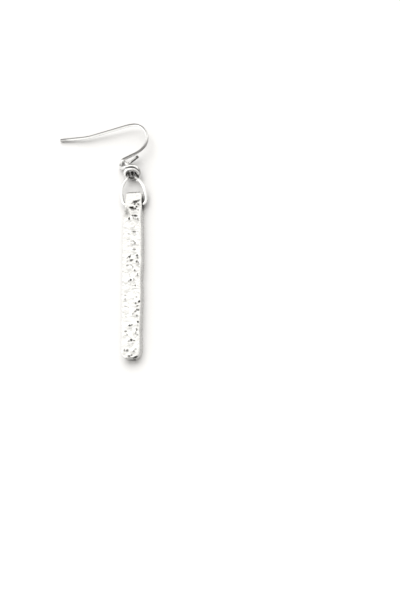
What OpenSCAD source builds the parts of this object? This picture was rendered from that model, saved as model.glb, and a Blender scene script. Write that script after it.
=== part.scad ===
// Bar earring, lying face up on a table.
// Millimetres. +X is to the right of the bar seen from its front, +Y runs up the bar to the
// ear hook, +Z is up, out of the bar's hammered front.
// The origin is the centre of the bar's flat back, which rests on the table.

/* [Bar] */
// Length of the bar
bar_len = 46.2; // [40:0.1:60]
// Width of the bar at its widest
bar_w = 5.5; // [4.8:0.1:7]
// Thickness of the bar
bar_t = 2.8; // [2.4:0.1:3.6]
// Radius of the long front edges
front_edge_r = 0.6; // [0.3:0.05:0.9]
// Radius of the long back edges
back_edge_r = 0.3; // [0.1:0.05:0.5]
// Radius of the two corners at the lower end
end_corner_r = 1.9; // [1:0.1:2.2]
// Diameter of the cross hole for the bail
hole_d = 1.35; // [1.2:0.05:1.6]
// Distance from the bar's upper end to the cross hole
hole_inset = 3.1; // [2.4:0.1:5]
// Depth of the deepest hammer dent
dent_depth = 0.34; // [0.1:0.02:0.5]

/* [Bail] */
// Diameter of the bail's wire
bail_wire = 0.85; // [0.7:0.05:0.95]
// Gap between the bail and the bar's side
bail_side_gap = 0.5; // [0.4:0.1:1.5]
// Length of the bail's oval from the cross hole to the neck
oval_len = 7.3; // [7:0.1:12]
// Distance between the centres of the two strands in the neck
neck_w = 2.1; // [1.6:0.1:2.2]
// Length of the neck under the wraps
neck_len = 2; // [1.9:0.1:3]
// Dip of the neck towards the table, in degrees
neck_dip = 18; // [5:1:25]
// Turns of wire round the neck
wrap_turns = 1.5; // [1.5:1:2.5]
// Distance between one turn of the wrap and the next
wrap_spacing = 1; // [1:0.02:1.3]
// Slant of each turn away from square, in degrees
wrap_slant = 22; // [0:1:24]

/* [Ear hook] */
// Diameter of the ear hook's wire
hook_wire = 0.8; // [0.6:0.05:0.9]
// Length of the straight tip that goes through the ear
tip_len = 6.5; // [4:0.1:9]
// Length of the straight leg behind the ear
leg_len = 9.2; // [6:0.1:12]
// Radius of the arch over the ear
arch_r = 4.25; // [3.5:0.05:6]
// Length of the straight stem above the hook's loop
stem_len = 3.3; // [2:0.1:5]
// Bend radius of the hook's loop
loop_r = 1.05; // [1:0.05:1.3]
// Length of the loop's returning end
return_len = 3.6; // [2.5:0.1:3.8]

/* [Hidden] */
$fn = 48;

// Clearance between wires that touch, and between a wire and the table
gap = 0.05;
wire_sides = 10;
bend_step = 12;

// Bar outline: share of the length from the upper end, then the left and the right
// side as shares of half the width.
BAR_OUTLINE = [
    [0.000, 0.66, 0.95], [0.065, 0.73, 0.98], [0.140, 0.90, 0.96],
    [0.290, 0.96, 0.97], [0.500, 0.97, 1.00], [0.700, 0.95, 1.00],
    [0.850, 0.93, 1.00], [0.930, 0.92, 0.99], [1.000, 0.90, 0.96]
];

// Hammer dents: share of the length from the upper end, share of half the width to the
// right, mouth radius as a share of half the width, depth as a share of the deepest.
DENTS = [
    [0.075, 0.58, 0.42, 1.0], [0.114, 0.18, 0.45, 1.0], [0.123, -0.46, 0.40, 0.8],
    [0.165, -0.20, 0.26, 0.7], [0.167, 0.47, 0.42, 1.0], [0.227, 0.20, 0.24, 0.7],
    [0.253, 0.30, 0.26, 0.7], [0.267, -0.32, 0.32, 0.7], [0.309, 0.15, 0.40, 1.0],
    [0.363, 0.28, 0.28, 0.8], [0.393, 0.62, 0.26, 0.7], [0.405, -0.17, 0.42, 1.0],
    [0.432, 0.62, 0.32, 0.9], [0.460, -0.22, 0.40, 1.0], [0.474, 0.38, 0.22, 0.6],
    [0.504, 0.67, 0.26, 0.7], [0.540, 0.07, 0.42, 1.0], [0.576, 0.32, 0.28, 0.8],
    [0.585, -0.37, 0.32, 0.7], [0.642, -0.58, 0.30, 0.7], [0.665, 0.65, 0.32, 1.0],
    [0.732, 0.51, 0.44, 1.0], [0.714, -0.47, 0.38, 0.8], [0.798, 0.63, 0.28, 0.8],
    [0.810, -0.04, 0.32, 0.8], [0.846, 0.54, 0.34, 1.0], [0.858, -0.53, 0.32, 0.7],
    [0.909, -0.01, 0.42, 1.0], [0.960, -0.55, 0.30, 0.7], [0.960, 0.34, 0.32, 0.9]
];

// Right half of the bail's oval, from the cross hole to the neck: share of half the
// oval's width, share of its length.
OVAL = [
    [0.36, 0.00], [0.70, 0.00], [0.94, 0.09], [1.00, 0.25],
    [0.98, 0.43], [0.92, 0.60], [0.79, 0.76], [0.56, 0.90]
];

// Bends of the ear hook from its loop to its tip: straight run before the bend, bend
// radius, turn to the left in degrees.
HOOK_BENDS = [
    [stem_len, 1.65 * arch_r, 25], [0, 0.8 * arch_r, 45], [0, arch_r, 90],
    [0, 3 * arch_r, 10], [leg_len, 4.2 * arch_r, -10]
];

// Heading of the stem from the bar's cross direction, roll of the loop out of the hook's
// plane, and how far the loop is turned, in degrees.
hook_heading = 20.7;
loop_roll = 60;
loop_turn = 196;

// Centre of the hook's loop from the neck's far end: to the left, up the bar, and the
// clearance of its wire from the table.
loop_left = 2.0;
loop_ahead = 2.7;
loop_lift = 0.45;

// Strands of the bail's neck: the left one starts under the wraps, the right one crosses
// over to the eye. Side as a share of half the neck's width, share of the neck's length.
LEFT_STRAND = [[-1, 1.3], [-1, 0.9], [-1, 0.5], [-1.05, 0]];
RIGHT_STRAND = [[1.05, 0], [1, 0.5], [1, 0.9], [0.7, 1.3], [-0.4, 1.5]];
neck_left = 0.3;

// Turn of the hook's loop at which the bail's eye holds it, where the wraps start and the
// steps of both, in degrees.
eye_at = 115;
wrap_start = 120;
coil_step = 45;

// How far along the wire leads in to the eye, and out of it to the wraps, and how far it
// stands off the loop there in millimetres.
eye_lead = 0.6;
eye_lead_off = 0.5;
eye_exit = 0.25;
eye_exit_off = 0.8;

function unit(v) = v / norm(v);
function mix(a, b, share) = a + (b - a) * share;
function last(list) = list[len(list) - 1];
function backwards(list) = [for (i = [len(list) - 1:-1:0]) list[i]];

// Vector v turned about a unit axis.
function turned(v, axis, angle) =
    v * cos(angle) + cross(axis, v) * sin(angle) + axis * (axis * v) * (1 - cos(angle));

// Points of a smooth curve through the given points, without its two end stretches.
function curve_point(a, b, c, d, t) =
    0.5 * (2 * b + (c - a) * t + (2 * a - 5 * b + 4 * c - d) * t * t
        + (3 * b - a - 3 * c + d) * t * t * t);
function smooth(points, steps) = [
    for (i = [1:len(points) - 3], k = [0:steps - 1])
        curve_point(points[i - 1], points[i], points[i + 1], points[i + 2], k / steps),
    points[len(points) - 2]
];

// Directions along a path, and a side direction carried along it without twist.
function directions(path) = [
    for (i = [0:len(path) - 1])
        unit(path[min(i + 1, len(path) - 1)] - path[max(i - 1, 0)])
];
function square_to(v, direction) = unit(v - direction * (v * direction));
function sides(ways, first) = [
    for (i = 0, side = square_to(first, ways[0]); i < len(ways);
        i = i + 1, side = i < len(ways) ? square_to(side, ways[i]) : side) side
];

// A round wire swept along a path as one closed solid.
module wire(path, diameter, first_side = [0, 0, 1]) {
    ways = directions(path);
    spokes = sides(ways, first_side);
    points = [
        for (i = [0:len(path) - 1], k = [0:wire_sides - 1])
            let (angle = 360 * k / wire_sides)
                path[i] + diameter / 2 * (spokes[i] * cos(angle)
                    + cross(ways[i], spokes[i]) * sin(angle))
    ];
    quads = [
        for (i = [0:len(path) - 2], k = [0:wire_sides - 1])
            let (a = i * wire_sides + k, b = i * wire_sides + (k + 1) % wire_sides)
                [a, b, b + wire_sides, a + wire_sides]
    ];
    walls = [for (q = quads, half = [[0, 2, 1], [0, 3, 2]]) [for (j = half) q[j]]];
    start_cap = [for (k = [0:wire_sides - 1]) k];
    end_cap = [for (k = [wire_sides - 1:-1:0]) (len(path) - 1) * wire_sides + k];
    polyhedron(points, concat(walls, [start_cap, end_cap]));
}

// Bar: half widths at a distance from the upper end, between the outline's rows.
function bar_side(share, column, i = 0) =
    i == len(BAR_OUTLINE) - 2 || share <= BAR_OUTLINE[i + 1][0]
        ? let (a = BAR_OUTLINE[i], b = BAR_OUTLINE[i + 1])
            mix(a[column], b[column], (share - a[0]) / (b[0] - a[0])) * bar_w / 2
        : bar_side(share, column, i + 1);
// How far an edge of the given radius has drawn in at a distance from the end.
function drawn_in(distance, radius) =
    distance >= radius ? 0 : radius - sqrt(radius ^ 2 - (radius - distance) ^ 2);

// One section of the bar across its length, anticlockwise from the back's right side.
function bar_section(distance) =
    let (
        share = distance / bar_len,
        upper = drawn_in(distance, front_edge_r),
        lower = drawn_in(bar_len - distance, end_corner_r),
        edge = min(upper + drawn_in(bar_len - distance, front_edge_r), bar_t / 3),
        left = bar_side(share, 1) - upper - lower,
        right = bar_side(share, 2) - upper - lower,
        front_r = front_edge_r,
        back_r = back_edge_r,
        top = bar_t - edge - front_r
    ) [
        [right - back_r, -back_r],
        for (a = [-60:30:0]) [right - back_r + back_r * cos(a), back_r + back_r * sin(a)],
        for (a = [0:22.5:90]) [right - front_r + front_r * cos(a), top + front_r * sin(a)],
        for (a = [90:22.5:180]) [front_r - left + front_r * cos(a), top + front_r * sin(a)],
        for (a = [180:30:240]) [back_r - left + back_r * cos(a), back_r + back_r * sin(a)],
        [back_r - left, -back_r]
    ];

// Distances of the sections from the upper end.
bar_stations = [
    for (a = [20:17.5:90]) front_edge_r * (1 - cos(a)),
    for (i = [1:len(BAR_OUTLINE) - 2]) BAR_OUTLINE[i][0] * bar_len,
    for (a = [90:-11:24]) bar_len - end_corner_r * (1 - cos(a))
];

module bar_blank() {
    sections = [for (s = bar_stations) [for (p = bar_section(s)) [p[0], bar_len / 2 - s, p[1]]]];
    count = len(sections[0]);
    walls = [
        for (i = [0:len(sections) - 2], k = [0:count - 1], half = [[0, 1, 2], [0, 2, 3]])
            let (a = i * count + k, b = i * count + (k + 1) % count)
                [for (j = half) [a, b, b + count, a + count][j]]
    ];
    upper_cap = [for (k = [count - 1:-1:0]) k];
    lower_cap = [for (k = [0:count - 1]) (len(sections) - 1) * count + k];
    polyhedron([for (s = sections, p = s) p], concat(walls, [upper_cap, lower_cap]));
}

// A shallow round hammer dent in the front face.
module dent(row) {
    mouth = row[2] * bar_w / 2;
    depth = row[3] * dent_depth;
    ball = (mouth ^ 2 + depth ^ 2) / (2 * depth);
    translate([row[1] * bar_w / 2, bar_len * (0.5 - row[0]), bar_t - depth + ball])
        sphere(ball);
}

module hammered_bar() {
    color("silver") difference() {
        bar_blank();
        translate([-bar_w, -bar_len, -bar_t]) cube([2 * bar_w, 2 * bar_len, bar_t]);
        translate(hole_centre) rotate([0, 90, 0])
            cylinder(h = 2 * bar_w, d = hole_d, center = true);
        for (row = DENTS) dent(row);
    }
}

// Bail: the oval hangs in the cross hole, and its neck lies a wrap's height off the table.
hole_share = hole_inset / bar_len;
hole_left = bar_side(hole_share, 1);
hole_right = bar_side(hole_share, 2);
hole_centre = [(hole_right - hole_left) / 2, bar_len / 2 - hole_inset, bar_t / 2];
oval_half = (hole_left + hole_right) / 2 + bail_side_gap + bail_wire / 2;
wrap_r = neck_w / 2 + bail_wire + gap;

across = [1, 0, 0];
neck_way = [0, cos(neck_dip), -sin(neck_dip)];
neck_up = cross(across, neck_way);
wrap_up = neck_up * cos(wrap_slant) + neck_way * sin(wrap_slant);
wrap_low = wrap_spacing * (wrap_start + 90) / 360;
neck_exit_z = wrap_r * wrap_up[2] - wrap_low * sin(neck_dip) + bail_wire / 2 + gap;
neck_entry_z = neck_exit_z + neck_len * sin(neck_dip);
oval_rise = asin((neck_entry_z - bar_t / 2) / oval_len);
oval_way = [0, cos(oval_rise), sin(oval_rise)];
neck_entry = [-neck_left, hole_centre[1], hole_centre[2]] + oval_way * oval_len;
neck_exit = neck_entry + neck_way * neck_len;

function oval_point(row, side) =
    mix(hole_centre, neck_entry, row[1]) + across * (side * row[0] * oval_half);
function neck_point(row) =
    mix(neck_entry, neck_exit, row[1]) + across * (row[0] * neck_w / 2);

// Ear hook: its loop goes through the bail's eye and touches the table.
stem_way = [cos(hook_heading), sin(hook_heading), 0];
stem_right = [sin(hook_heading), -cos(hook_heading), 0];
loop_in = stem_right * cos(loop_roll) - [0, 0, sin(loop_roll)];
loop_normal = cross(-stem_way, loop_in);
loop_centre = [
    neck_exit[0] - loop_left,
    neck_exit[1] + loop_ahead,
    loop_r * sin(loop_roll) + hook_wire / 2 + loop_lift
];

// Bail's eye: half a circle round the loop's wire.
eye_r = (bail_wire + hook_wire) / 2 + 3 * gap;
eye_out = -stem_way * sin(eye_at) - loop_in * cos(eye_at);
eye_centre = loop_centre + eye_out * loop_r;

function eye_point(angle, reach = 0) =
    eye_centre - (eye_out * cos(angle) + loop_normal * sin(angle)) * eye_r + loop_normal * reach;

// Wraps round the neck, from its upper left side towards the oval.
function wrap_point(angle) =
    neck_exit - neck_way * (wrap_spacing * (wrap_start - angle) / 360)
        + wrap_r * (across * cos(angle) + wrap_up * sin(angle));

wrap_end = wrap_start - 360 * wrap_turns - coil_step;
bail_route = concat(
    [for (row = LEFT_STRAND) neck_point(row)],
    [for (row = backwards(OVAL)) oval_point(row, -1)],
    [for (row = OVAL) oval_point(row, 1)],
    [for (row = RIGHT_STRAND) neck_point(row)],
    [mix(neck_point(last(RIGHT_STRAND)), eye_point(0, eye_lead_off), eye_lead)],
    [for (a = [0:coil_step:180]) eye_point(a)],
    [mix(eye_point(180, eye_exit_off), wrap_point(wrap_start), eye_exit)],
    [for (a = [wrap_start:-coil_step:wrap_end]) wrap_point(a)]
);
bail_path = smooth(bail_route, 4);

module wrapped_bail() {
    color("silver") wire(bail_path, bail_wire);
}

// Points of a run of bends from a place and a direction, turning about a unit axis.
function bent(place, way, axis, bends, i = 0) =
    i == len(bends) ? [] :
    let (
        row = bends[i],
        start = place + way * row[0],
        hub = start + cross(axis, way) * row[1] * sign(row[2]),
        steps = ceil(abs(row[2]) / bend_step),
        arc = [for (k = [0:steps]) hub + turned(start - hub, axis, row[2] * k / steps)]
    )
    concat(
        [for (k = [row[0] > 0 ? 0 : 1:steps]) arc[k]],
        bent(last(arc), turned(way, axis, row[2]), axis, bends, i + 1)
    );

// The loop is bent back from the foot of the stem.
stem_foot = loop_centre - loop_in * loop_r;
loop_bend = bent(stem_foot, -stem_way, loop_normal, [[0, loop_r, loop_turn]]);
return_way = turned(-stem_way, loop_normal, loop_turn);

// The rest is bent flat, then tilted about the foot of the stem until the tip lies on the table.
flat_bend = bent([0, 0, 0], stem_way, [0, 0, 1], HOOK_BENDS);
flat_tip = last(flat_bend) - [tip_len, 0, 0];
tilt_axis = unit(cross([0, 0, 1], flat_tip));
tilt = asin((stem_foot[2] - hook_wire / 2 - gap) / norm(flat_tip));
function tilted(v) = turned(v, tilt_axis, tilt);
tip_start = stem_foot + tilted(last(flat_bend));
tip_way = tilted([-1, 0, 0]);

// The bent wire is this much thinner than its straight tip, and runs this far into it.
tip_step = 0.02;
tip_overlap = 0.4;
hook_path = concat(
    [last(loop_bend) + return_way * return_len],
    backwards(loop_bend),
    [for (p = flat_bend) stem_foot + tilted(p)],
    [tip_start + tip_way * tip_overlap]
);

module ear_hook() {
    color("silver") union() {
        wire(hook_path, hook_wire - tip_step);
        translate(tip_start)
            rotate([0, acos(tip_way[2]), atan2(tip_way[1], tip_way[0])])
                cylinder(h = tip_len, d = hook_wire);
    }
}

hammered_bar();
wrapped_bail();
ear_hook();
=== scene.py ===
import math

import bpy
import numpy as np
from mathutils import Matrix, Vector, noise
from mathutils.bvhtree import BVHTree


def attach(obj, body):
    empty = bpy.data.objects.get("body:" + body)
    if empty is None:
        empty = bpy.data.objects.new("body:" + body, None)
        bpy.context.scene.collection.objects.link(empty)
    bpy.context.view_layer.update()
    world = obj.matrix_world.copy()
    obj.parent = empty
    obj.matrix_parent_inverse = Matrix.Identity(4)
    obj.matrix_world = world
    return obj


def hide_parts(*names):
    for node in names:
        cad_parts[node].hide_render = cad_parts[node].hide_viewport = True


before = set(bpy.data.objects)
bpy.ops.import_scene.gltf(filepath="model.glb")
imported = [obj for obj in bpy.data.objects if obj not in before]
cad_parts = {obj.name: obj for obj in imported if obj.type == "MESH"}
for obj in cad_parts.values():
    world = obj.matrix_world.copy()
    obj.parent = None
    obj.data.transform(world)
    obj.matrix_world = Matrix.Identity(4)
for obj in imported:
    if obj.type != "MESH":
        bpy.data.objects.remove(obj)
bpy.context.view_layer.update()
MM = 0.001

# Sizes in millimetres, the same as the frame's, apart from the bar's crisper edges. +Y runs
# up the bar, +Z is out of its front.
BAR_LEN, BAR_W, BAR_T = 46.2, 5.5, 2.8
FRONT_EDGE_R, UPPER_EDGE_R, END_CORNER_R = 0.6, 0.35, 1.9
RIGHT_EDGE_R, LEFT_EDGE_R, BACK_EDGE_R = 0.42, 0.3, 0.15
HOLE_D, HOLE_INSET, DENT_DEPTH = 1.35, 3.1, 0.34
BAIL_WIRE, BAIL_SIDE_GAP, OVAL_LEN = 0.85, 0.5, 7.3
NECK_W, NECK_LEN, NECK_DIP = 2.1, 2.0, 18
WRAP_TURNS, WRAP_SPACING, WRAP_SLANT = 1.5, 1.0, 22
HOOK_WIRE, TIP_LEN, LEG_LEN, ARCH_R = 0.8, 6.5, 9.2, 4.25
STEM_LEN, LOOP_R, RETURN_LEN = 3.3, 1.05, 3.6
HOOK_HEADING, LOOP_ROLL, LOOP_TURN = 20.7, 60, 196
OVAL_START_X, LOOP_TO_LEFT, LOOP_AHEAD, LOOP_LIFT = -0.3, 2.0, 2.7, 0.45
GAP = 0.05
ROW_STEP, LEAST_STEP, PATH_STEP = 0.1, 0.008, 0.12  # between rings of points
SHARP_FROM = 50  # degrees
SQUEEZE = 0.9965  # keeps the bar's rounded end within the frame's bounds

# Bar outline: share of the length from the upper end, left and right share of half width.
BAR_OUTLINE = np.array([
    [0.000, 0.66, 0.95], [0.065, 0.73, 0.98], [0.140, 0.90, 0.96],
    [0.290, 0.96, 0.97], [0.500, 0.97, 1.00], [0.700, 0.95, 1.00],
    [0.850, 0.93, 1.00], [0.930, 0.92, 0.99], [1.000, 0.90, 0.96],
])
LEFT, RIGHT = 1, 2  # the outline's columns

# Fine waves of both sides: height, turn per millimetre, turn from side to side.
FINE_WAVES = ((0.030, 2.1, 2.7), (0.022, 0.9, 1.3))
WAVES_IN = 0.03  # how far inside the outline they swing

# Waves of the right side alone: distance from the upper end, how far out it stands.
RIGHT_WAVES = np.array([
    [5.0, 0.0], [7.2, -0.18], [9.5, -0.02], [12.2, 0.03], [18.0, 0.09], [20.2, 0.09],
    [22.2, -0.07], [24.0, -0.12], [25.6, -0.09], [28.0, 0.0], [31.0, 0.03], [34.0, -0.06],
    [36.5, -0.05], [38.8, -0.20], [40.6, -0.08], [42.5, 0.0],
])

# Hammer dents: share of the length, share of half width to the right, mouth, depth.
DENTS = np.array([
    [0.075, 0.58, 0.42, 1.0], [0.114, 0.18, 0.45, 1.0], [0.123, -0.46, 0.40, 0.8],
    [0.165, -0.20, 0.26, 0.7], [0.167, 0.47, 0.42, 1.0], [0.227, 0.20, 0.24, 0.7],
    [0.253, 0.30, 0.26, 0.7], [0.267, -0.32, 0.32, 0.7], [0.309, 0.15, 0.40, 1.0],
    [0.363, 0.28, 0.28, 0.8], [0.393, 0.62, 0.26, 0.7], [0.405, -0.17, 0.42, 1.0],
    [0.432, 0.62, 0.32, 0.9], [0.460, -0.22, 0.40, 1.0], [0.474, 0.38, 0.22, 0.6],
    [0.504, 0.67, 0.26, 0.7], [0.540, 0.07, 0.42, 1.0], [0.576, 0.32, 0.28, 0.8],
    [0.585, -0.37, 0.32, 0.7], [0.642, -0.58, 0.30, 0.7], [0.665, 0.65, 0.32, 1.0],
    [0.732, 0.51, 0.44, 1.0], [0.714, -0.47, 0.38, 0.8], [0.798, 0.63, 0.28, 0.8],
    [0.810, -0.04, 0.32, 0.8], [0.846, 0.54, 0.34, 1.0], [0.858, -0.53, 0.32, 0.7],
    [0.909, -0.01, 0.42, 1.0], [0.960, -0.55, 0.30, 0.7], [0.960, 0.34, 0.32, 0.9],
])
# The marks' painted shade stands in for the dents' own shading, so the dents stay shallow.
DENT_SHARE = 0.27  # of the frame's depth, as the marks below darken the dents already
BOWL_REACH, BOWL_BLEND = 1.25, 0.05  # in mouths; how softly bowls meet

# Dark marks of the hammered face where the photograph shows them, painted shade of the hammer
# dents: its pixel, half length and half width in pixels, rise to the right in degrees, how dark.
MARKS = [
    (135.7, 201.4, 3.5, 1.4, 16, 1.0), (138.6, 199.8, 1.7, 0.9, 25, 0.6),
    (138.1, 203.9, 0.9, 1.0, 0, 0.8), (134.6, 203.8, 1.3, 0.9, 30, 0.8),
    (132.6, 202.6, 1.6, 0.8, 40, 0.5), (136.6, 206.4, 1.3, 0.75, 0, 1.0),
    (132.2, 207.5, 2.6, 1.3, -8, 1.0), (133.2, 209.2, 3.2, 0.9, 0, 0.55),
    (135.2, 208.3, 1.1, 1.0, -30, 0.9), (129.8, 207.4, 1.4, 1.0, 20, 0.8),
    (138.1, 209.4, 0.9, 0.9, 0, 0.4), (126.7, 211.3, 2.7, 5.0, 0, 0.37),
    (128.9, 213.2, 0.7, 1.2, 0, 0.4), (135.1, 215.6, 2.4, 1.15, 4, 1.0),
    (132.7, 215.3, 1.1, 0.9, 0, 0.7),
    (137.8, 218.8, 0.9, 2.0, 0, 0.55), (133.3, 217.8, 0.8, 1.2, 0, 0.35),
    (135.3, 218.5, 1.0, 1.2, 0, 0.3), (129.1, 218.2, 0.9, 1.7, 0, 0.8),
    (132.4, 227.6, 1.2, 1.1, 0, 0.35), (134.2, 227.0, 0.7, 1.4, 0, 0.35),
    (131.0, 224.0, 1.5, 1.0, 0, 0.12), (134.1, 231.7, 2.2, 0.95, -5, 0.7),
    (137.4, 231.5, 0.8, 0.6, 0, 0.2), (128.8, 233.9, 2.2, 0.8, -12, 0.35),
    (132.0, 240.8, 2.2, 0.7, 12, 0.35), (134.9, 242.9, 1.0, 1.3, 0, 0.55),
    (133.8, 241.3, 1.2, 0.7, -20, 0.45), (128.6, 241.2, 0.8, 0.6, 0, 0.3),
    (132.4, 245.0, 0.8, 1.0, 0, 0.2), (134.1, 249.3, 2.0, 1.2, 10, 0.5),
    (129.4, 256.6, 1.4, 1.2, 35, 0.8), (131.4, 259.9, 1.5, 1.0, 10, 0.85),
    (127.2, 257.6, 0.9, 0.8, 0, 0.35), (127.3, 261.1, 0.9, 0.9, 0, 0.3),
    (130.6, 254.9, 0.8, 0.8, 0, 0.4), (137.0, 255.4, 1.3, 0.9, 15, 0.8),
    (137.5, 257.6, 0.8, 0.7, 0, 0.75), (136.6, 261.4, 1.3, 1.3, 0, 0.85),
    (138.2, 262.3, 0.8, 1.2, 0, 0.5), (138.0, 264.4, 0.9, 0.9, 0, 0.25),
    (127.8, 265.1, 2.4, 0.8, 14, 0.45), (131.2, 264.9, 1.6, 0.8, -20, 0.5),
    (132.5, 266.8, 0.8, 1.2, 0, 0.45), (134.8, 270.0, 1.2, 0.9, 0, 0.5),
    (125.8, 271.8, 0.9, 0.7, 0, 0.18), (129.4, 274.5, 0.7, 1.4, 0, 0.22),
    (137.5, 274.3, 0.8, 1.6, 0, 0.7), (130.7, 279.4, 1.1, 1.1, 0, 0.75),
    (128.6, 280.9, 0.7, 0.7, 0, 0.5), (133.7, 279.2, 1.1, 1.3, 0, 0.45),
    (135.6, 280.0, 1.0, 0.6, 0, 0.25), (135.2, 285.4, 0.9, 1.1, 0, 0.7),
    (132.8, 285.4, 1.0, 0.6, 0, 0.3), (126.7, 286.1, 1.2, 0.7, 0, 0.2),
    (129.2, 287.4, 0.9, 0.7, 0, 0.2), (125.3, 295.6, 1.3, 1.0, 0, 0.3),
    (125.3, 298.9, 0.9, 1.6, 0, 0.28), (136.3, 296.9, 0.9, 0.7, 0, 0.5),
    (133.4, 298.5, 0.8, 1.2, 0, 0.15), (139.0, 301.3, 1.1, 1.0, 0, 0.95),
    (135.6, 303.1, 0.8, 1.3, 0, 0.5), (137.6, 305.5, 1.8, 0.7, 10, 0.45),
    (125.6, 306.0, 1.5, 0.7, -15, 0.35), (128.3, 307.5, 0.9, 0.7, 0, 0.3),
    (137.5, 309.6, 2.0, 1.1, 10, 0.7), (135.3, 311.2, 1.3, 1.1, 30, 0.7),
    (133.1, 313.2, 1.0, 1.0, 0, 0.55), (137.0, 315.4, 1.0, 1.0, 0, 0.5),
    (125.7, 316.4, 0.9, 0.9, 0, 0.2), (137.7, 321.8, 1.1, 1.3, 0, 0.95),
    (137.4, 325.0, 0.8, 1.0, 0, 0.3), (130.7, 324.9, 2.6, 0.75, 15, 0.75),
    (131.2, 328.0, 1.5, 0.7, 0, 0.15), (136.9, 329.3, 1.0, 1.1, 0, 0.95),
    (135.7, 332.4, 0.6, 1.8, 0, 0.5), (137.3, 334.2, 0.9, 1.0, 0, 0.5),
    (125.6, 331.2, 1.2, 1.2, 0, 0.45), (127.1, 334.4, 0.9, 1.1, 0, 0.4),
    (131.3, 339.8, 1.3, 1.4, 0, 1.0), (128.7, 340.9, 1.5, 0.7, 10, 0.6),
    (134.0, 340.4, 1.2, 0.7, 0, 0.6), (132.6, 342.9, 0.8, 0.8, 0, 0.25),
    (124.5, 350.2, 1.3, 1.3, 0, 0.5), (127.2, 350.4, 1.5, 1.3, 0, 0.6),
    (133.6, 350.8, 1.3, 1.1, 0, 0.5),
    (135.7, 348.9, 1.4, 1.0, 25, 0.5), (129.0, 355.9, 1.4, 1.1, 0, 0.95),
    (131.3, 354.9, 1.4, 0.9, 10, 0.7), (134.9, 356.8, 3.2, 0.75, 22, 0.95),
]
MARK_DEPTH, RAGGED = 0.05, 0.9  # millimetres; pixels by which a mark's outline strays

# Noise of the bar's surfaces: amount, size in millimetres, seed.
FRONT_GRAIN = ((0.014, 0.55, 3.1), (0.008, 0.23, 9.4))
WALL_GRAIN = ((0.05, 1.6, 5.7), (0.02, 0.5, 1.7))
BREAKUP_GRAIN = ((0.8, 0.26, 2.2), (0.4, 0.12, 6.1))
FRONT_IN, WALL_IN = 0.012, 0.05  # keep the front and the walls within the frame's bounds

# Half of the bail's oval: share of half its width, share of its length.
OVAL = [
    (0.36, 0.00), (0.70, 0.00), (0.94, 0.09), (1.00, 0.25),
    (0.98, 0.43), (0.92, 0.60), (0.79, 0.76), (0.56, 0.90),
]
# The wire's strands in the neck: share of half its width, share of its length.
LEFT_STRAND = [(-1, 1.3), (-1, 0.9), (-1, 0.5), (-1.05, 0)]
RIGHT_STRAND = [(1.05, 0), (1, 0.5), (1, 0.9), (0.7, 1.3), (-0.4, 1.5)]


def link(name, verts, faces):
    """A new mesh object from millimetre points, smooth shaded."""
    mesh = bpy.data.meshes.new(name)
    mesh.from_pydata([tuple(v) for v in np.asarray(verts) * MM], [], faces)
    mesh.validate()
    mesh.polygons.foreach_set("use_smooth", [True] * len(mesh.polygons))
    obj = bpy.data.objects.new(name, mesh)
    bpy.context.scene.collection.objects.link(obj)
    return obj


def tube_faces(rows, sides):
    """Faces of a closed tube whose points run round it ring by ring."""
    faces = [
        (
            i * sides + k,
            i * sides + (k + 1) % sides,
            (i + 1) * sides + (k + 1) % sides,
            (i + 1) * sides + k,
        )
        for i in range(rows - 1)
        for k in range(sides)
    ]
    faces.append(tuple(range(sides - 1, -1, -1)))
    faces.append(tuple(range((rows - 1) * sides, rows * sides)))
    return faces


def unit(v):
    v = np.asarray(v, float)
    return v / np.linalg.norm(v)


def mix(a, b, share):
    return np.asarray(a, float) + (np.asarray(b, float) - a) * share


def ramp(value, zero, one):
    """Share of the way from the value that gives 0 to the value that gives 1."""
    return np.clip((value - zero) / (one - zero), 0, 1)


def sind(a):
    return math.sin(math.radians(a))


def cosd(a):
    return math.cos(math.radians(a))


def turned(v, axis, degrees):
    c, s = cosd(degrees), sind(degrees)
    return v * c + np.cross(axis, v) * s + axis * (axis @ v) * (1 - c)


# Direction from the part to the camera, and the picture's right and up. The picture has
# PX_PER_MM pixels to the millimetre, and the part's origin at the pixel PX_ORIGIN.
LEAN_X, LEAN_Y, ROLL = 0.28, -0.27, 0.8
towards = np.array([LEAN_X, LEAN_Y, math.sqrt(1 - LEAN_X ** 2 - LEAN_Y ** 2)])
up = unit(np.array([0, 1.0, 0]) - towards * towards[1])
right = np.cross(up, towards)
right, up = right * cosd(ROLL) + up * sind(ROLL), up * cosd(ROLL) - right * sind(ROLL)
PX_PER_MM, PX_HEIGHT = 3.75, 600
PX_ORIGIN = (134.0, 277.9)


def pixel_of(x, y, z):
    """Pixel of the picture at which a point of the part is seen."""
    return (
        PX_ORIGIN[0] + PX_PER_MM * (x * right[0] + y * right[1] + z * right[2]),
        PX_ORIGIN[1] - PX_PER_MM * (x * up[0] + y * up[1] + z * up[2]),
    )


# Bar


def drawn_in(distance, radius):
    """How far an edge of that radius has drawn in at a distance from the end."""
    d = np.clip(distance, 0, radius)
    return radius - np.sqrt(radius ** 2 - (radius - d) ** 2)


def side_width(distance, side):
    """Half width of the bar on one side, with the hammered edge's slight waves."""
    fine = np.linspace(-0.1, 1.1, 481)
    width = np.interp(fine, BAR_OUTLINE[:, 0], BAR_OUTLINE[:, side]) * BAR_W / 2
    kernel = np.exp(-np.linspace(-2, 2, 25) ** 2)
    width = np.convolve(width, kernel / kernel.sum(), "same")
    wave = sum(high * np.sin(long * distance + shift * side) for high, long, shift in FINE_WAVES)
    if side == RIGHT:
        wave = wave + np.interp(distance, RIGHT_WAVES[:, 0], RIGHT_WAVES[:, 1])
    return np.interp(distance / BAR_LEN, fine, width) + wave - WAVES_IN


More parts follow.
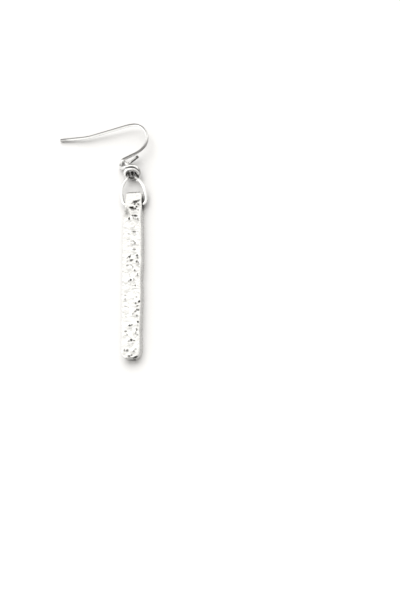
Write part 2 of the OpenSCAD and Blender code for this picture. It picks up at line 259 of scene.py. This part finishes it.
# Small bowls between the hammer dents, as far apart as their mouths allow
SMALL_BOWLS, CLOSEST = 111, 0.55
rng = np.random.default_rng(7)
small = []
while len(small) < SMALL_BOWLS:
    x, y = rng.uniform(-2.5, 2.6), rng.uniform(-22.6, 18.2)
    mouth, depth = rng.uniform(0.35, 0.85), rng.uniform(0.01, 0.04)
    if all((x - q[0]) ** 2 + (y - q[1]) ** 2 > (CLOSEST * (mouth + q[2])) ** 2 for q in small):
        small.append((x, y, mouth, depth))
large = [
    (out * BAR_W / 2, BAR_LEN * (0.5 - along), mouth * BAR_W / 2, depth * DENT_DEPTH * DENT_SHARE)
    for along, out, mouth, depth in DENTS
]
BOWLS = np.array(large + small)


def grain(points, size, seed):
    """Noise from -1 to 1 at millimetre points."""
    return np.array(
        [noise.noise(Vector((p[0] / size + seed, p[1] / size, p[2] / size))) for p in points]
    )


def grains(points, layers, start=0.0):
    """Layers of noise, each an amount, a size and a seed, added to the start."""
    return sum((amount * grain(points, size, seed) for amount, size, seed in layers), start)


def relief(x, y):
    """Drop of the hammered front at each point, and the painted shade of its creases, 0 to 1."""
    drop = np.ones_like(x)
    for bx, by, mouth, depth in BOWLS:  # each deeper towards its upper side
        away = ((x - bx) ** 2 + (y - by) ** 2) / (BOWL_REACH * mouth) ** 2
        bowl = np.clip(1 - away, 0, 1) ** 2
        lean = 0.62 + 0.38 * np.clip((y - by) / mouth, -1, 1)
        drop += np.expm1(depth * lean * bowl / BOWL_BLEND)
    drop = BOWL_BLEND * np.log(drop)
    dark = np.zeros_like(x)
    px, py = pixel_of(x, y, BAR_T)
    points = np.stack([x, y, 0 * x], 1)
    px, py = px + RAGGED * grain(points, 0.3, 4.7), py + RAGGED * grain(points, 0.27, 8.3)
    for mx, my, half_l, half_w, rise, depth in MARKS:
        dx, dy = px - mx, my - py
        along = (dx * cosd(rise) + dy * sind(rise)) / half_l
        aside = (dy * cosd(rise) - dx * sind(rise)) / half_w
        dark = np.maximum(dark, depth * np.exp(-((1.15 * (along ** 2 + aside ** 2)) ** 1.8)))
    drop += MARK_DEPTH * dark
    return drop, dark


def bar_rows():
    """Distances from the upper end at which the bar has a ring of points."""
    edge = FRONT_EDGE_R * (1 - np.cos(np.radians(np.linspace(8, 90, 10))))
    corner = END_CORNER_R * (1 - np.cos(np.radians(np.linspace(10, 90, 26))))
    rows = np.concatenate(
        [
            edge,
            np.arange(0.7, 2.0, ROW_STEP),
            np.arange(2.0, BAR_LEN - 1.95, ROW_STEP),
            BAR_LEN - corner,
            BAR_LEN - edge,
        ]
    )
    rows = np.unique(np.round(rows, 4))
    keep = [rows[0]]
    for r in rows[1:]:
        if r - keep[-1] > LEAST_STEP:
            keep.append(r)
    return np.array(keep)


def bar_ring(to_left, to_right, top):
    """Points round the bar, from its lower right edge up and over the front to the back."""
    arc = np.linspace(0, np.pi / 2, 9)
    back_arc = np.linspace(0, np.pi / 2, 5)
    wall = np.linspace(0, 1, 9)[1:-1]
    front = np.linspace(0, 1, 50)[1:-1]
    back = np.linspace(0, 1, 12)[1:-1]
    r, g, b = RIGHT_EDGE_R, LEFT_EDGE_R, BACK_EDGE_R
    width = to_right + to_left
    return (
        [(to_right - b + b * math.sin(a), b - b * math.cos(a)) for a in back_arc]
        + [(to_right, b + (top - r - b) * t) for t in wall]
        + [(to_right - r + r * math.cos(a), top - r + r * math.sin(a)) for a in arc]
        + [(to_right - r - (width - r - g) * t, top) for t in front]
        + [(-to_left + g - g * math.sin(a), top - g + g * math.cos(a)) for a in arc]
        + [(-to_left, top - g - (top - g - b) * t) for t in wall]
        + [(-to_left + b - b * math.cos(a), b - b * math.sin(a)) for a in back_arc]
        + [(-to_left + b + (width - 2 * b) * t, 0) for t in back]
    )


def bar_mesh():
    rows = bar_rows()
    upper_in = drawn_in(rows, FRONT_EDGE_R)
    corner_in = drawn_in(BAR_LEN - rows, END_CORNER_R)
    low = drawn_in(rows, UPPER_EDGE_R) + drawn_in(BAR_LEN - rows, FRONT_EDGE_R)
    low = np.minimum(low, BAR_T / 3)
    to_left = side_width(rows, LEFT) - upper_in - corner_in
    to_right = side_width(rows, RIGHT) - upper_in - corner_in
    top = BAR_T - low
    rings = [
        [(x, BAR_LEN / 2 - row * SQUEEZE, z) for x, z in bar_ring(*sizes)]
        for row, *sizes in zip(rows, to_left, to_right, top)
    ]
    count = len(rings[0])
    flat = np.array(rings).reshape(-1, 3)

    drop, _ = relief(flat[:, 0], flat[:, 1])
    height = (flat[:, 2] - np.repeat(top - FRONT_EDGE_R, count)) / FRONT_EDGE_R
    facing = np.clip(height, 0, 1)
    facing = facing * facing * (3 - 2 * facing)
    flat[:, 2] -= drop * facing
    flat[:, 2] += (grains(flat, FRONT_GRAIN) - FRONT_IN) * facing
    walls = (1 - facing) * np.clip(flat[:, 2] / 0.3, 0, 1)
    flat[:, 0] += np.sign(flat[:, 0]) * walls * (grains(flat, WALL_GRAIN) - WALL_IN)
    return flat, tube_faces(len(rows), count)


def drill(obj, centre):
    """Cuts the cross hole, slightly flared at both mouths."""
    sides = 40
    bore_r, flare_r, out_r = HOLE_D / 2, 0.72, 0.9
    profile = [
        (-3.2, out_r), (-2.02, flare_r), (-1.8, bore_r),
        (2.4, bore_r), (2.58, flare_r), (3.2, out_r),
    ]
    turns = [2 * math.pi * k / sides for k in range(sides)]
    verts = [
        (x, centre[1] + r * math.cos(t), centre[2] + r * math.sin(t))
        for x, r in profile
        for t in turns
    ]
    tool = link("drill", verts, tube_faces(len(profile), sides))
    mod = obj.modifiers.new("hole", "BOOLEAN")
    mod.object, mod.operation, mod.solver = tool, "DIFFERENCE", "EXACT"
    bpy.context.view_layer.update()
    depsgraph = bpy.context.evaluated_depsgraph_get()
    done = bpy.data.meshes.new_from_object(obj.evaluated_get(depsgraph))
    obj.modifiers.clear()
    obj.data = done
    bpy.data.objects.remove(tool)


# The bar's plain half widths at the cross hole, and the hole's centre
hole_left, hole_right = (
    np.interp(HOLE_INSET / BAR_LEN, BAR_OUTLINE[:, 0], BAR_OUTLINE[:, side]) * BAR_W / 2
    for side in (LEFT, RIGHT)
)
hole_centre = np.array([(hole_right - hole_left) / 2, BAR_LEN / 2 - HOLE_INSET, BAR_T / 2])

# Bail and ear hook, along the same routes as the frame's


def smooth_curve(points, steps):
    """A smooth curve through the points, without its two end stretches."""
    p = np.asarray(points, float)
    out = []
    for i in range(1, len(p) - 2):
        a, b, c, d = p[i - 1 : i + 3]
        for t in np.arange(steps) / steps:
            out.append(
                0.5
                * (
                    2 * b
                    + (c - a) * t
                    + (2 * a - 5 * b + 4 * c - d) * t * t
                    + (3 * b - a - 3 * c + d) * t ** 3
                )
            )
    out.append(p[-2])
    return np.array(out)


def resampled(path, step):
    """The path with its points at even distances of about one step."""
    run = np.concatenate([[0], np.cumsum(np.linalg.norm(np.diff(path, axis=0), axis=1))])
    at = np.linspace(0, run[-1], max(2, round(run[-1] / step)) + 1)
    return np.stack([np.interp(at, run, path[:, k]) for k in range(3)], 1)


def relaxed(path, rounds):
    """The path with its bends evened out a little in each round."""
    for _ in range(rounds):
        inner = path[1:-1] * 0.5 + (path[:-2] + path[2:]) * 0.25
        path = np.vstack([path[:1], inner, path[-1:]])
    return path


def bail_path():
    """Centre lines of the bail's wire and of its tucked end, and the ear hook's loop."""
    across = np.array([1.0, 0, 0])
    oval_half = (hole_left + hole_right) / 2 + BAIL_SIDE_GAP + BAIL_WIRE / 2
    wrap_r = NECK_W / 2 + BAIL_WIRE + GAP
    wrap_start, eye_at, wrap_step = 120, 115, 45
    neck_way = np.array([0, cosd(NECK_DIP), -sind(NECK_DIP)])
    neck_up = np.cross(across, neck_way)
    wrap_up = neck_up * cosd(WRAP_SLANT) + neck_way * sind(WRAP_SLANT)
    wrap_low = WRAP_SPACING * (wrap_start + 90) / 360
    exit_z = wrap_r * wrap_up[2] - wrap_low * sind(NECK_DIP) + BAIL_WIRE / 2 + GAP
    entry_z = exit_z + NECK_LEN * sind(NECK_DIP)
    rise = math.degrees(math.asin((entry_z - BAR_T / 2) / OVAL_LEN))
    oval_way = np.array([0, cosd(rise), sind(rise)])
    entry = np.array([OVAL_START_X, hole_centre[1], hole_centre[2]]) + oval_way * OVAL_LEN
    leave = entry + neck_way * NECK_LEN

    def oval_point(row, side):
        return mix(hole_centre, entry, row[1]) + across * (side * row[0] * oval_half)

    def neck_point(row):
        return mix(entry, leave, row[1]) + across * (row[0] * NECK_W / 2)

    loop_z = LOOP_R * sind(LOOP_ROLL) + HOOK_WIRE / 2 + LOOP_LIFT
    loop_centre = np.array([leave[0] - LOOP_TO_LEFT, leave[1] + LOOP_AHEAD, loop_z])
    stem_way = np.array([cosd(HOOK_HEADING), sind(HOOK_HEADING), 0])
    stem_right = np.array([sind(HOOK_HEADING), -cosd(HOOK_HEADING), 0])
    loop_in = stem_right * cosd(LOOP_ROLL) - np.array([0, 0, sind(LOOP_ROLL)])
    loop_normal = np.cross(-stem_way, loop_in)
    eye_r = (BAIL_WIRE + HOOK_WIRE) / 2 + 3 * GAP
    eye_out = -stem_way * sind(eye_at) - loop_in * cosd(eye_at)
    eye_centre = loop_centre + eye_out * LOOP_R

    def eye_point(angle, reach=0.0):
        ring = (eye_out * cosd(angle) + loop_normal * sind(angle)) * eye_r
        return eye_centre - ring + loop_normal * reach

    def wrap_point(angle):
        along = neck_way * (WRAP_SPACING * (wrap_start - angle) / 360)
        return leave - along + wrap_r * (across * cosd(angle) + wrap_up * sind(angle))

    end = wrap_start - 360 * WRAP_TURNS - wrap_step
    route = (
        [neck_point(r) for r in LEFT_STRAND]
        + [oval_point(r, -1) for r in reversed(OVAL)]
        + [oval_point(r, 1) for r in OVAL]
        + [neck_point(r) for r in RIGHT_STRAND]
        + [mix(neck_point(RIGHT_STRAND[-1]), eye_point(0, 0.5), 0.6)]
        + [eye_point(a) for a in range(0, 181, 45)]
        + [mix(eye_point(180, 0.8), wrap_point(wrap_start), 0.25)]
        + [wrap_point(a) for a in np.arange(wrap_start, end - 1, -wrap_step)]
    )
    loop = dict(centre=loop_centre, stem_way=stem_way, loop_in=loop_in, normal=loop_normal)
    tail = resampled(np.array([neck_point((0, 0.88)), neck_point((0, 0.08))]), PATH_STEP)
    return relaxed(resampled(smooth_curve(route, 16), PATH_STEP), 6), tail, loop


def bent(place, way, axis, bends, step):
    """Points of a run of bends: straight run, bend radius, turn to the left in degrees."""
    out = []
    for run, radius, turn in bends:
        start = place + way * run
        if run > 0:
            n = max(1, round(run / 0.25))
            out += [place + way * run * k / n for k in range(1, n + 1)]
        hub = start + np.cross(axis, way) * radius * (1 if turn > 0 else -1)
        n = max(2, math.ceil(abs(turn) / step))
        out += [hub + turned(start - hub, axis, turn * k / n) for k in range(1, n + 1)]
        place, way = out[-1], turned(way, axis, turn)
    return out, way


def hook_path(loop):
    """Centre line of the ear hook's wire, from its loop's cut end to its tip."""
    foot = loop["centre"] - loop["loop_in"] * LOOP_R
    curl, back = bent(foot, -loop["stem_way"], loop["normal"], [(0, LOOP_R, LOOP_TURN)], 4)
    bends = [
        (STEM_LEN, 1.65 * ARCH_R, 25), (0, 0.8 * ARCH_R, 45), (0, ARCH_R, 90),
        (0, 3 * ARCH_R, 10), (LEG_LEN, 4.2 * ARCH_R, -10),
    ]
    upright = np.array([0, 0, 1.0])
    flat, _ = bent(np.zeros(3), loop["stem_way"], upright, bends, 3)
    tip = flat[-1] - np.array([TIP_LEN, 0, 0])
    axis = unit(np.cross(upright, tip))
    tilt = math.degrees(math.asin((foot[2] - HOOK_WIRE / 2 - GAP) / np.linalg.norm(tip)))
    way = turned(np.array([-1.0, 0, 0]), axis, tilt)
    rest = [foot + turned(p, axis, tilt) for p in flat]
    steps = 26
    tip_run = [rest[-1] + way * TIP_LEN * k / steps for k in range(1, steps + 1)]
    path = [curl[-1] + back * RETURN_LEN] + curl[::-1] + [foot] + rest + tip_run
    return relaxed(resampled(np.array(path), PATH_STEP), 10)


def wire(path, diameter, end_r, sides=24):
    """Points and faces of a round wire along the path, with slightly rounded cut ends."""
    ways = np.gradient(path, axis=0)
    ways /= np.linalg.norm(ways, axis=1)[:, None]
    spoke = np.array([0, 0, 1.0])
    spokes = []
    for w in ways:
        spoke = unit(spoke - w * (spoke @ w))
        spokes.append(spoke)
    spokes = np.array(spokes)
    others = np.cross(ways, spokes)
    turns = 2 * np.pi * np.arange(sides) / sides

    def ring(place, i, radius):
        return [place + radius * (spokes[i] * math.cos(t) + others[i] * math.sin(t)) for t in turns]

    r, last, clear = diameter / 2, len(path) - 1, end_r * 1.05
    rims = [(math.sin(a), math.cos(a)) for a in np.radians([5, 30, 60, 90])]
    verts = []
    for s, c in rims:
        verts += ring(path[0] - ways[0] * end_r * (c - 1), 0, r - end_r + end_r * s)
    for i in range(1, last):
        if all(np.linalg.norm(path[i] - path[end]) > clear for end in (0, last)):
            verts += ring(path[i], i, r)
    for s, c in reversed(rims):
        verts += ring(path[last] + ways[last] * end_r * (c - 1), last, r - end_r + end_r * s)
    return verts, tube_faces(len(verts) // sides, sides)


# Materials


def material(name):
    """A new material with its node tree and its only shader."""
    mat = bpy.data.materials.new(name)
    mat.use_nodes = True
    tree = mat.node_tree
    tree.nodes.clear()
    out = node(tree, "OutputMaterial")
    shader = node(tree, "BsdfPrincipled")
    tree.links.new(shader.outputs[0], out.inputs[0])
    return mat, tree, shader


def node(tree, kind, **values):
    """A new shader node with the properties given."""
    made = tree.nodes.new("ShaderNode" + kind)
    for key, value in values.items():
        setattr(made, key, value)
    return made


def noise_of(tree, coords, scale, detail=3.0, rough=0.55):
    tex = node(tree, "TexNoise")
    tex.inputs["Scale"].default_value = scale
    tex.inputs["Detail"].default_value = detail
    tex.inputs["Roughness"].default_value = rough
    tree.links.new(coords, tex.inputs["Vector"])
    return tex.outputs[0]


def ranged(tree, value, low, high, to_low, to_high, kind="LINEAR"):
    m = node(tree, "MapRange", interpolation_type=kind)
    for i, x in enumerate((low, high, to_low, to_high)):
        m.inputs[i + 1].default_value = x
    tree.links.new(value, m.inputs[0])
    return m.outputs[0]


def plus(tree, value, factor, amount):
    """The value, a number or a socket, plus an amount of the factor."""
    m = node(tree, "Math", operation="MULTIPLY_ADD")
    tree.links.new(factor, m.inputs[0])
    m.inputs[1].default_value = amount
    if isinstance(value, float):
        m.inputs[2].default_value = value
    else:
        tree.links.new(value, m.inputs[2])
    return m.outputs[0]


def blend(tree, factor, low, high):
    """From the low to the high colour, each a colour or a socket."""
    m = node(tree, "Mix", data_type="RGBA")
    tree.links.new(factor, m.inputs[0])
    for socket, colour in ((m.inputs[6], low), (m.inputs[7], high)):
        if isinstance(colour, tuple):
            socket.default_value = (*colour, 1)
        else:
            tree.links.new(colour, socket)
    return m.outputs[2]


def silver(name, tint, black, rough, pits):
    """Silver that darkens with the mesh's painted shade, and roughens with it.

    tint: noise scale and two colours; rough: noise scale, two roughnesses and what the painted
    shade adds; pits: noise scale, detail and roughness, bump distance and strength.
    """
    mat, tree, shader = material(name)
    coords = node(tree, "TexCoord").outputs["Object"]
    painted_shade = node(tree, "Attribute", attribute_name="painted_shade").outputs["Fac"]
    scale, low, high = tint
    colour = blend(tree, ranged(tree, noise_of(tree, coords, scale), 0.3, 0.7, 0, 1), low, high)
    # the base colour goes towards black with the painted shade
    colour = blend(tree, painted_shade, colour, black)
    scale, low, high, added = rough
    patches = ranged(tree, noise_of(tree, coords, scale), 0.3, 0.7, low, high)
    *grit, distance, strength = pits
    bump = node(tree, "Bump")
    bump.inputs["Strength"].default_value = strength
    bump.inputs["Distance"].default_value = distance
    tree.links.new(noise_of(tree, coords, *grit), bump.inputs["Height"])
    shader.inputs["Metallic"].default_value = 1.0
    tree.links.new(colour, shader.inputs["Base Color"])
    tree.links.new(plus(tree, patches, painted_shade, added), shader.inputs["Roughness"])
    tree.links.new(bump.outputs[0], shader.inputs["Normal"])
    return mat


# Painted shade. Places of the picture, in pixels: the dark streak of the bar's end, the knot's
# middle, and the middles of the coil's dark lines, below its upper wrap and between its wraps.
END_STREAK_X = 133.8
KNOT, UPPER_WRAP, WRAP_GAP = (133.2, 172.5), (132.8, 168.8), (131.5, 167.1)


def finished(mesh, mat, painted_shade):
    """Gives the mesh its material, its painted shade and sharp edges where it turns hard."""
    values = mesh.attributes.new("painted_shade", "FLOAT", "POINT").data
    values.foreach_set("value", painted_shade.astype(np.float32))
    mesh.set_sharp_from_angle(angle=math.radians(SHARP_FROM))
    mesh.materials.clear()
    mesh.materials.append(mat)


def bar_painted_shade(co):
    """Painted shade of the bar at its points: hammer marks, rim of the end, end face and walls."""
    end_from, end_full, rim_y = -22.45, -22.75, -22.8
    px, _ = pixel_of(*co.T)
    _, dark = relief(co[:, 0], co[:, 1])
    front = ramp(co[:, 2], BAR_T - 1.1, BAR_T - 0.6)
    breakup = grains(co, BREAKUP_GRAIN, 1.05)
    # hammer marks: painted shade of the dents' creases, broken up by grain
    marks = np.clip(1.35 * dark * front * breakup, 0, 0.99)
    end_face = ramp(co[:, 1], end_from, end_full) * ramp(np.abs(co[:, 0] + 0.25), 1.75, 1.15)
    end_streak = 0.3 + 0.8 * np.exp(-((px - END_STREAK_X) / 2.6) ** 2)
    from_hole = np.hypot(co[:, 1] - hole_centre[1], co[:, 2] - hole_centre[2])
    by_hole = ramp(from_hole, 2.6, 1.4) * (co[:, 0] > 0)
    wall_top = BAR_T - 0.35 - 0.8 * end_face
    # walls: painted shade, darker towards the top of the walls, on the end face and round the
    # hole's right mouth, with random grain
    walls = ramp(wall_top - co[:, 2], 0, 0.25) * (
        0.26 * ramp(co[:, 2], 0.9, 2.4) + 0.15 * grain(co, 0.3, 4.4)
        + end_face * end_streak + 0.75 * by_hole
    )
    # rim: a painted dark shade line along the edge of the lower end
    rim = 0.85 * np.exp(-((co[:, 1] - rim_y) / 0.09) ** 2) * ramp(np.abs(co[:, 0] + 0.2), 1.5, 0.8)
    return np.maximum(np.maximum(marks, rim * front * breakup), np.clip(walls, 0, 0.95))


def nooks(obj, others, reach, rays=28):
    """How shut in each point of the piece is by the pieces round it, 0 to 1."""
    trees = []
    for o in others:
        verts = [v.co.copy() for v in o.data.vertices]
        trees.append(BVHTree.FromPolygons(verts, [tuple(f.vertices) for f in o.data.polygons]))
    golden = math.pi * (3 - math.sqrt(5))
    dirs = []
    for k in range(rays):
        z = math.sqrt((k + 0.5) / rays)
        r = math.sqrt(1 - z * z)
        dirs.append(Vector((r * math.cos(golden * k), r * math.sin(golden * k), z)))
    shut = np.zeros(len(obj.data.vertices))
    for i, v in enumerate(obj.data.vertices):
        turn = Vector((0, 0, 1)).rotation_difference(v.normal)
        start = v.co + v.normal * 2e-5
        for d in dirs:
            way = turn @ d
            if any(t.ray_cast(start, way, reach)[0] is not None for t in trees):
                shut[i] += 1 / rays
    return shut


def wire_nooks(obj, at, px, py):
    """Painted shade where the wires shut each other in, and low down inside the knot."""
    dark = ramp(nooks(obj, (bail, hook, bar), 1.6 * MM), 0.30, 0.65) ** 1.3
    dark *= 1 - 0.9 * ramp(at[:, 1], 30.1, 30.9)
    dark *= np.where((at[:, 0] < -1) & (at[:, 1] < 23), 0.15, 1)
    knot = 1 - np.hypot((px - KNOT[0]) / 8.5, (py - KNOT[1]) / 9.5)
    return np.maximum(dark, 0.78 * ramp(knot, 0, 0.25) * ramp(at[:, 2], 3.1, 2.6))


def wrap_lines(at, px, py):
    """Painted shade on the bail's coil, below its upper wrap and between its wraps."""
    aside = px - UPPER_WRAP[0]
    arc = py - UPPER_WRAP[1] - 0.1 * aside ** 2
    high = 1 - ramp(at[:, 2], 3.1, 2.6)
    below = ramp(arc, 0, 0.8) * ramp(arc, 3.2, 2.6) * high * (np.abs(aside) < 7.5)
    bend = np.where(px > WRAP_GAP[0], 0.075, 0.02)
    gap = py - WRAP_GAP[1] - bend * (px - WRAP_GAP[0]) ** 2
    between = np.exp(-((gap / 0.75) ** 2)) * (np.abs(aside) < 8) * (py > 165.5)
    return np.maximum(0.6 * below, 0.75 * between)


def dark_side(at, px, py):
    """Painted dark reflection on the ear wire: outer side of its leg, inner side of its stem;
    darker at both ends.
    """
    near = [((hook_line - p) ** 2).sum(1).argmin() for p in at]
    along = np.gradient(hook_line, axis=0)[near]
    along /= np.linalg.norm(along, axis=1)[:, None]
    outer = np.cross(along, towards)
    outer /= np.linalg.norm(outer, axis=1)[:, None]
    stem = (px > 116) & (py > np.where(px > 145.5, 128, 134))
    turn = np.interp(py, [136, 140, 144, 150, 155], [78, 48, 27, 12, -40])
    turn = np.radians(np.where(stem, turn, 50))[:, None]
    side = towards * np.cos(turn) + outer * np.sin(turn)
    normals = np.array([v.normal[:] for v in hook.data.vertices])
    shaded = ramp((normals * side).sum(1), 0.38, 0.62)
    on_leg = ramp(np.abs(along @ right), 0.82, 0.94) * np.interp(px, [70, 125], [0.42, 0.68])
    on_stem = np.interp(py, [129, 136, 140, 147], [0.05, 0.28, 0.5, 0.8])
    in_loop = np.linalg.norm(at - loop["centre"], axis=1) < LOOP_R + 0.5
    on_stem *= np.where(in_loop & (py > 159.5), 0.2, 1)
    tip = 0.55 * ramp(px, 72, 65)
    cut = 0.9 * ramp(np.linalg.norm(at - hook_line[0], axis=1), 0.8, 0.6)
    return np.maximum(shaded * np.where(stem, on_stem, on_leg), np.maximum(tip, cut))


# Pieces

# black: the colour where the painted shade is full
bar_silver = silver(
    "hammered_silver",
    tint=(700, (0.725, 0.722, 0.712), (0.765, 0.762, 0.750)),
    black=(0.022, 0.020, 0.018),
    rough=(900, 0.18, 0.32, 0.3),
    pits=(3800, 4.0, 0.6, 0.00002, 0.5),
)
wire_silver = silver(
    "wire_silver",
    tint=(500, (0.81, 0.81, 0.81), (0.86, 0.86, 0.855)),
    black=(0.06, 0.055, 0.052),
    rough=(1500, 0.07, 0.16, 0.0),
    pits=(4000, 3.0, 0.55, 0.00001, 0.3),
)

bar = link("silver_bar", *bar_mesh())
drill(bar, hole_centre)
mesh = bar.data
mesh.polygons.foreach_set("use_smooth", [True] * len(mesh.polygons))
# the bar's painted shade: hammer marks, walls, end and rim
finished(mesh, bar_silver, bar_painted_shade(np.array([v.co[:] for v in mesh.vertices]) / MM))

bail_line, tail_line, loop = bail_path()
hook_line = hook_path(loop)
bail_verts, bail_faces = wire(bail_line, BAIL_WIRE, 0.12)
tail_verts, tail_faces = wire(tail_line, BAIL_WIRE, 0.12)
bail_faces += [tuple(i + len(bail_verts) for i in f) for f in tail_faces]
bail = link("silver_bail", bail_verts + tail_verts, bail_faces)
hook = link("silver_hook", *wire(hook_line, HOOK_WIRE, 0.16))
for obj, lines in ((bail, wrap_lines), (hook, dark_side)):
    at = np.array([v.co[:] for v in obj.data.vertices]) / MM
    px, py = pixel_of(*at.T)
    # painted shade of the wires: where they shut each other in, and each wire's own dark lines
    dark = np.maximum(wire_nooks(obj, at, px, py), lines(at, px, py))
    finished(obj.data, wire_silver, dark)

for obj, cad, slot in (
    (bar, "hammered_bar", "bar_silver"),
    (bail, "wrapped_bail", "wire_silver"),
    (hook, "ear_hook", "wire_silver"),
):
    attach(obj, "root")
    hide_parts(cad)

# Table, light and camera

FLOOR_HALF, FLOOR_Z = 9000, -0.01
corners = [(-1, -1), (1, -1), (1, 1), (-1, 1)]
floor_verts = [(x * FLOOR_HALF, y * FLOOR_HALF, FLOOR_Z) for x, y in corners]
floor = link("floor", floor_verts, [(0, 1, 2, 3)])
floor_mat, _, floor_shader = material("white_table")
floor_shader.inputs["Base Color"].default_value = (0.436, 0.432, 0.428, 1)
floor_shader.inputs["Roughness"].default_value = 0.9
floor_shader.inputs["Specular IOR Level"].default_value = 0.0
floor.data.materials.append(floor_mat)

DISTANCE, SENSOR = 4000.0, 36
AIM_RIGHT, AIM_DOWN = 17.6, 5.9
place = towards * DISTANCE
back = unit(place - (right * AIM_RIGHT - up * AIM_DOWN))
camera_right = unit(np.cross(up, back))
camera_up = np.cross(back, camera_right)
camera = bpy.data.objects.new("camera", bpy.data.cameras.new("camera"))
bpy.context.scene.collection.objects.link(camera)
camera.data.sensor_width = SENSOR
camera.data.lens = SENSOR * DISTANCE / (PX_HEIGHT / PX_PER_MM)
camera.data.clip_start, camera.data.clip_end = 0.1, 100
axes = (camera_right, camera_up, back, place * MM)
camera.matrix_world = Matrix([[v[k] for v in axes] for k in range(3)] + [[0, 0, 0, 1]])
bpy.context.scene.camera = camera

world = bpy.data.worlds.new("studio")
bpy.context.scene.world = world
world.use_nodes = True
tree = world.node_tree
tree.nodes.clear()
w_out = node(tree, "OutputWorld")
w_bg = node(tree, "Background")
tree.links.new(w_bg.outputs[0], w_out.inputs[0])
ways = node(tree, "TexCoord").outputs["Generated"]

# The light all round, and where it is less or more: a direction, the angle from it up to
# which the change is full, the angle at which it ends, and the change.
BASE_LIGHT, LEAST_LIGHT = 1.35, 0.05
LESS_LIGHT = [
    ((-0.12, 1.0, 0.3), 48, 63, -1.1), ((-0.42, 0.50, 0.76), 11, 22, -0.8),
    ((1.0, 0.0, 0.1), 14, 30, -0.25),
]
MORE_LIGHT = [
    ((-0.28, 0.27, 0.92), 11, 20, 0.85), ((-0.9, -0.1, 0.45), 25, 75, 0.7),
    ((0.62, 0.72, 0.3), 14, 30, 1.1), ((0.32, 0.46, 0.83), 12, 24, 1.0),
]


def lit(level, rows):
    """The light level with each row's change added round its direction."""
    for direction, inner, outer, change in rows:
        dot = node(tree, "VectorMath", operation="DOT_PRODUCT")
        tree.links.new(ways, dot.inputs[0])
        dot.inputs[1].default_value = tuple(unit(direction))
        near = ranged(tree, dot.outputs["Value"], cosd(outer), cosd(inner), 0, 1, "SMOOTHSTEP")
        level = plus(tree, level, near, change)
    return level


at_least = node(tree, "Math", operation="MAXIMUM")
tree.links.new(lit(BASE_LIGHT, LESS_LIGHT), at_least.inputs[0])
at_least.inputs[1].default_value = LEAST_LIGHT
tree.links.new(lit(at_least.outputs[0], MORE_LIGHT), w_bg.inputs["Strength"])
w_bg.inputs["Color"].default_value = (0.8, 0.792, 0.768, 1)

for name, energy, angle, way in (
    ("softbox", 4.2, 55, (0.02, 0.64, 0.77)),
    ("side_box", 1.6, 60, (-0.45, 0.60, 0.62)),
):
    lamp = bpy.data.objects.new(name, bpy.data.lights.new(name, "SUN"))
    bpy.context.scene.collection.objects.link(lamp)
    lamp.data.energy = energy
    lamp.data.angle = math.radians(angle)
    lamp.visible_glossy = False
    lamp.rotation_mode = "QUATERNION"
    lamp.rotation_quaternion = Vector(way).to_track_quat("Z", "Y")

bpy.context.scene.view_settings.view_transform = "Standard"
